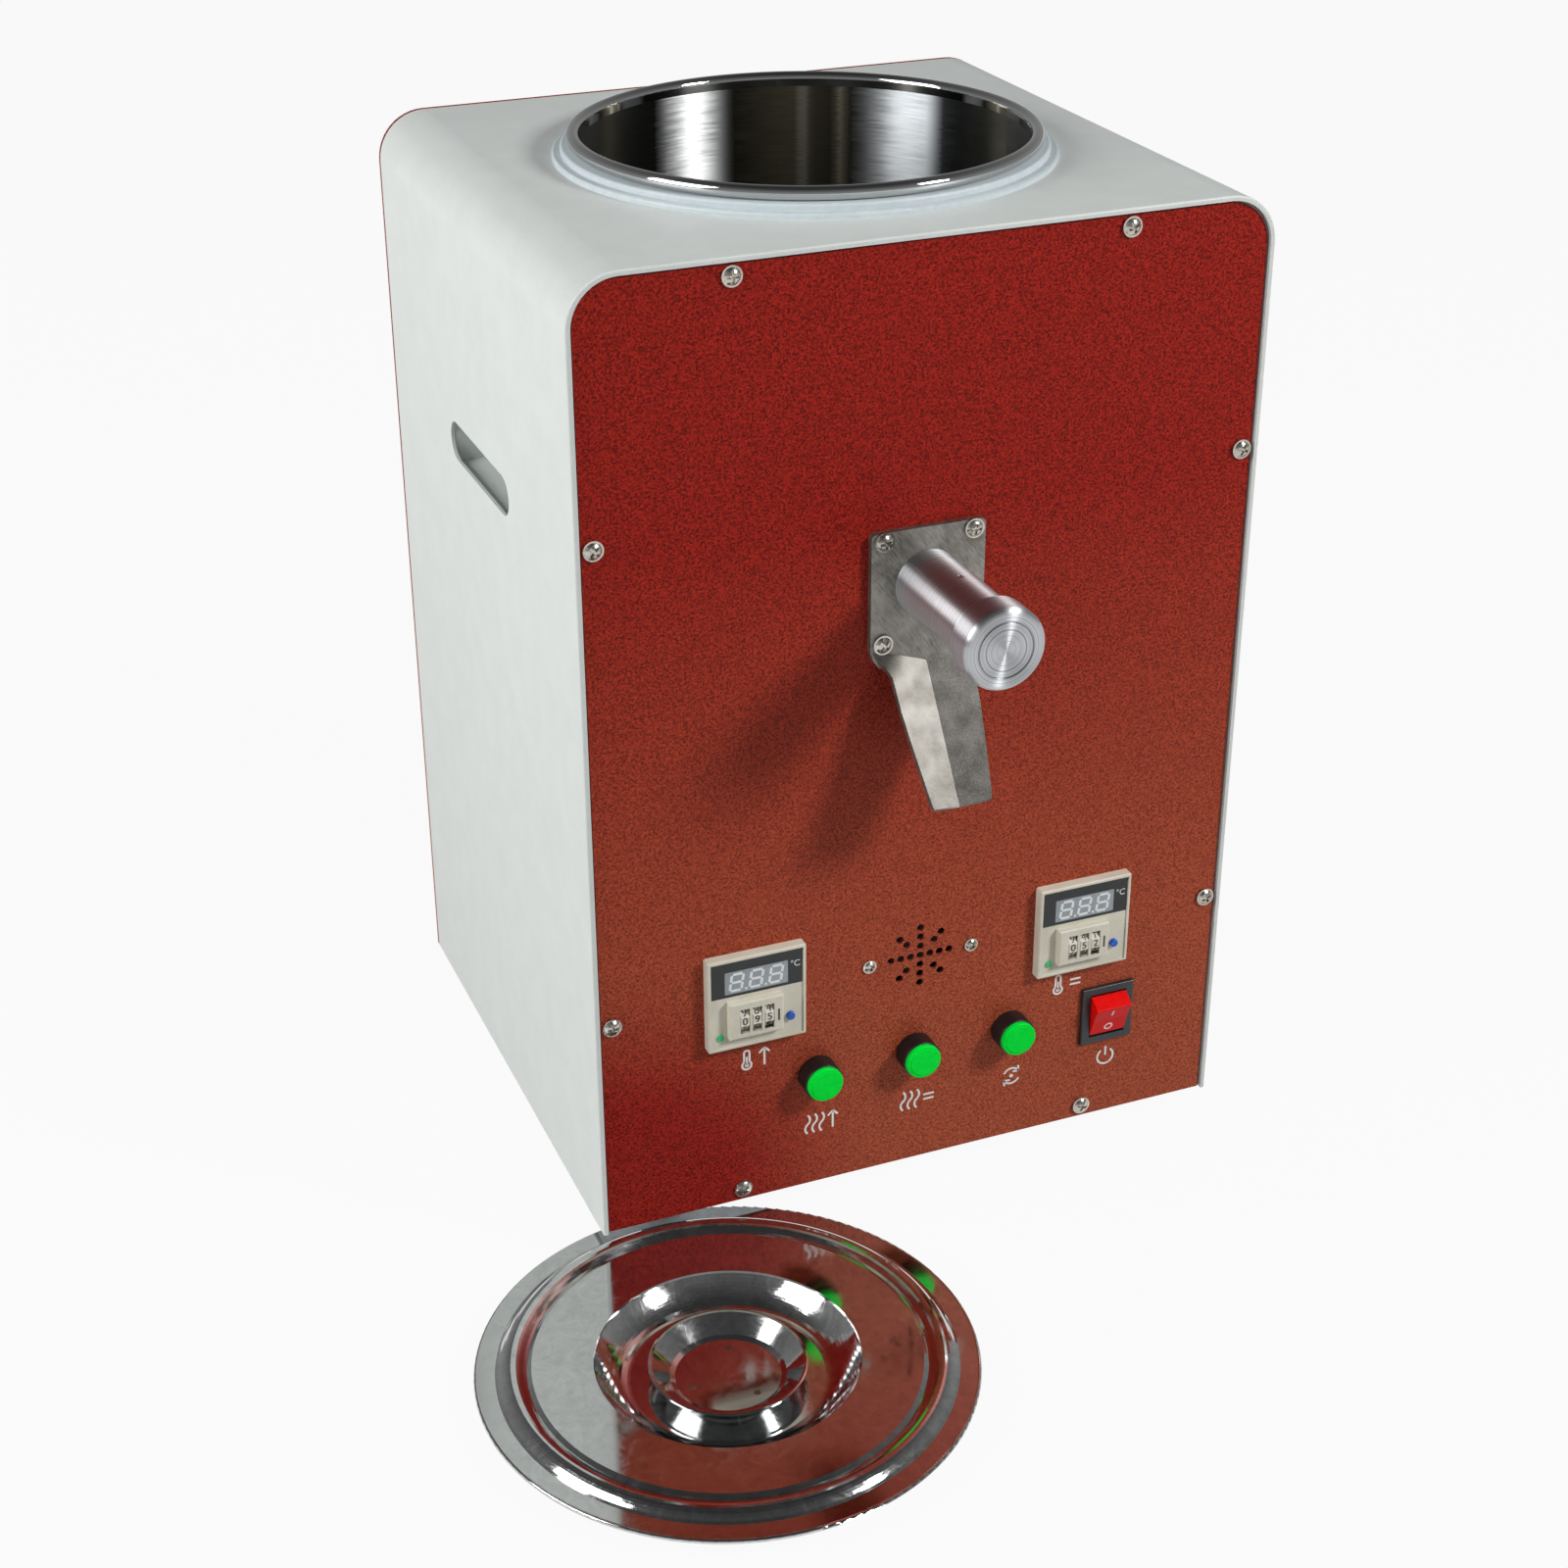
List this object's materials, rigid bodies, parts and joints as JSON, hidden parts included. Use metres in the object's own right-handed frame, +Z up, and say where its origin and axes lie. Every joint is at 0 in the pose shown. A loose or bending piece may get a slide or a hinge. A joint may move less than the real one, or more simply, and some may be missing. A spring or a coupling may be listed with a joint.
{
  "type": "agar duplicating machine",
  "caption": "Heated, stirred stainless pot in a sheet-metal cabinet that melts duplicating agar and pours it through a screw tap with a sloping chute.",
  "frame": {"origin": "on the bench, under the centre of the casing's footprint", "axes": "+Z up; the front panel faces -Y; +X is to the right for someone facing the front"},
  "size_m": [0.3946, 0.4833, 0.4704],
  "materials": {
    "casing_paint": "off-white textured powder coat",
    "front_panel_paint": "metallic red, semi-gloss",
    "rear_panel_paint": "metallic red, semi-gloss",
    "pocket_paint": "off-white powder coat",
    "base_zinc": "zinc-plated sheet",
    "foot_rubber": "matte black",
    "hidden_fastener_steel": "plated",
    "screw_nickel": "nickel plated, glossy",
    "pot_steel": "brushed round the wall, polished rim",
    "ring_silicone": "soft translucent white",
    "heater_steel": "heat-tinted",
    "jacket_felt": "ceramic-fibre felt",
    "nozzle_steel": "turned",
    "tap_cast": "cast, ground flange, worn",
    "barrel_turned": "turned, polished lengthwise",
    "plunger_steel": "ground",
    "seal_rubber": "matte",
    "knob_turned": "turned, bright",
    "washer_steel": "plain",
    "motor_steel": "satin",
    "coupling_aluminium": "turned",
    "stirrer_steel": "polished",
    "gland_brass": "machined",
    "cutout_resin": "moulded",
    "controller_plastic": "ivory, satin",
    "controller_window": "dark tinted",
    "wheel_plastic": "ivory with dark digits",
    "reset_plastic": "blue",
    "black_plastic": "satin black",
    "speaker_black": "paper and steel, black",
    "button_green": "translucent green",
    "switch_black": "satin black",
    "rocker_red": "translucent red",
    "relay_resin": "moulded",
    "lid_steel": "mirror polished stainless steel"
  },
  "bodies": {
    "cabinet": {"casing_wrap": "casing_paint", "front_panel": "front_panel_paint", "rear_panel": "rear_panel_paint", "base_plate": "base_zinc", "feet": "foot_rubber", "base_fasteners": "hidden_fastener_steel", "left_hand_pocket": "pocket_paint", "right_hand_pocket": "pocket_paint", "panel_screws": "screw_nickel", "pot": "pot_steel", "seat_ring": "ring_silicone", "band_heater": "heater_steel", "insulation_jacket": "jacket_felt", "outlet_nozzle": "nozzle_steel", "outlet_gasket": "ring_silicone", "tap_body": "tap_cast", "tap_barrel": "barrel_turned", "tap_screws": "screw_nickel", "tap_pins": "hidden_fastener_steel", "support_deck": "base_zinc", "gear_motor": "motor_steel", "shaft_gland": "gland_brass", "shaft_seal": "seal_rubber", "temperature_probes": "nozzle_steel", "thermal_cutout": "cutout_resin", "heating_controller_case": "controller_plastic", "heating_controller_window": "controller_window", "holding_controller_case": "controller_plastic", "holding_controller_window": "controller_window", "controller_clamps": "black_plastic", "alarm_speaker": "speaker_black", "heating_button_body": "black_plastic", "holding_button_body": "black_plastic", "stirring_button_body": "black_plastic", "button_nuts": "black_plastic", "rocker_switch_body": "switch_black", "mains_inlet": "black_plastic", "heater_relays": "relay_resin"},
    "knob": {"tap_knob": "knob_turned", "knob_washer": "washer_steel"},
    "plunger": {"tap_plunger": "plunger_steel", "plunger_rings": "seal_rubber"},
    "stirrer": {"drive_coupling": "coupling_aluminium", "stirrer_shaft": "stirrer_steel", "stirrer_paddle": "stirrer_steel"},
    "heating_button": {"heating_button_cap": "button_green"},
    "holding_button": {"holding_button_cap": "button_green"},
    "stirring_button": {"stirring_button_cap": "button_green"},
    "power_rocker": {"rocker": "rocker_red"},
    "heating_hundreds": {"heating_hundreds_wheel": "wheel_plastic"},
    "heating_tens": {"heating_tens_wheel": "wheel_plastic"},
    "heating_units": {"heating_units_wheel": "wheel_plastic"},
    "holding_hundreds": {"holding_hundreds_wheel": "wheel_plastic"},
    "holding_tens": {"holding_tens_wheel": "wheel_plastic"},
    "holding_units": {"holding_units_wheel": "wheel_plastic"},
    "heating_reset": {"heating_reset_button": "reset_plastic"},
    "holding_reset": {"holding_reset_button": "reset_plastic"},
    "fuse_holder": {"fuse_drawer": "black_plastic"},
    "lid": {"lid_cover": "lid_steel", "lid_knob": "lid_steel"}
  },
  "joints": [
    {"name": "knob_turn", "type": "hinge", "parent": "cabinet", "child": "knob", "pos_m": [-0.002, -0.2055, 0.3104], "axis": [0, -1, 0], "range_deg": [0, 540]},
    {"name": "plunger_travel", "type": "slide", "parent": "cabinet", "child": "plunger", "axis": [0, -1, 0], "range_m": [0, 0.014]},
    {"name": "stirrer_turn", "type": "hinge", "parent": "cabinet", "child": "stirrer", "pos_m": [0, -0.0024, 0.3], "axis": [0, 0, 1], "continuous": true},
    {"name": "heating_button_press", "type": "slide", "parent": "cabinet", "child": "heating_button", "axis": [0, 1, 0], "range_m": [0, 0.002], "stiffness_N_per_m": 800, "springref_m": -0.001},
    {"name": "holding_button_press", "type": "slide", "parent": "cabinet", "child": "holding_button", "axis": [0, 1, 0], "range_m": [0, 0.002], "stiffness_N_per_m": 800, "springref_m": -0.001},
    {"name": "stirring_button_press", "type": "slide", "parent": "cabinet", "child": "stirring_button", "axis": [0, 1, 0], "range_m": [0, 0.002], "stiffness_N_per_m": 800, "springref_m": -0.001},
    {"name": "power_rock", "type": "hinge", "parent": "cabinet", "child": "power_rocker", "pos_m": [0.0976, -0.1384, 0.0722], "axis": [1, 0, 0], "range_deg": [-43, 0]},
    {"name": "heating_hundreds_turn", "type": "hinge", "parent": "cabinet", "child": "heating_hundreds", "pos_m": [-0.0882, -0.1394, 0.1172], "axis": [1, 0, 0], "continuous": true},
    {"name": "heating_tens_turn", "type": "hinge", "parent": "cabinet", "child": "heating_tens", "pos_m": [-0.0824, -0.1394, 0.1172], "axis": [1, 0, 0], "continuous": true},
    {"name": "heating_units_turn", "type": "hinge", "parent": "cabinet", "child": "heating_units", "pos_m": [-0.0766, -0.1394, 0.1172], "axis": [1, 0, 0], "continuous": true},
    {"name": "holding_hundreds_turn", "type": "hinge", "parent": "cabinet", "child": "holding_hundreds", "pos_m": [0.0738, -0.1394, 0.1172], "axis": [1, 0, 0], "continuous": true},
    {"name": "holding_tens_turn", "type": "hinge", "parent": "cabinet", "child": "holding_tens", "pos_m": [0.0796, -0.1394, 0.1172], "axis": [1, 0, 0], "continuous": true},
    {"name": "holding_units_turn", "type": "hinge", "parent": "cabinet", "child": "holding_units", "pos_m": [0.0854, -0.1394, 0.1172], "axis": [1, 0, 0], "continuous": true},
    {"name": "heating_reset_press", "type": "slide", "parent": "cabinet", "child": "heating_reset", "axis": [0, 1, 0], "range_m": [0, 0.0008], "stiffness_N_per_m": 500, "springref_m": -0.0005},
    {"name": "holding_reset_press", "type": "slide", "parent": "cabinet", "child": "holding_reset", "axis": [0, 1, 0], "range_m": [0, 0.0008], "stiffness_N_per_m": 500, "springref_m": -0.0005},
    {"name": "fuse_drawer_pull", "type": "slide", "parent": "cabinet", "child": "fuse_holder", "axis": [0, 1, 0], "range_m": [0, 0.014]},
    {"name": "lid_carry", "type": "slide", "parent": "cabinet", "child": "lid", "axis": [0, -1, 0], "range_m": [0, 0.12]}
  ],
  "couplings": [
    {"joint": "plunger_travel", "follows": "knob_turn", "m_per_rad": 0.001485}
  ]
}
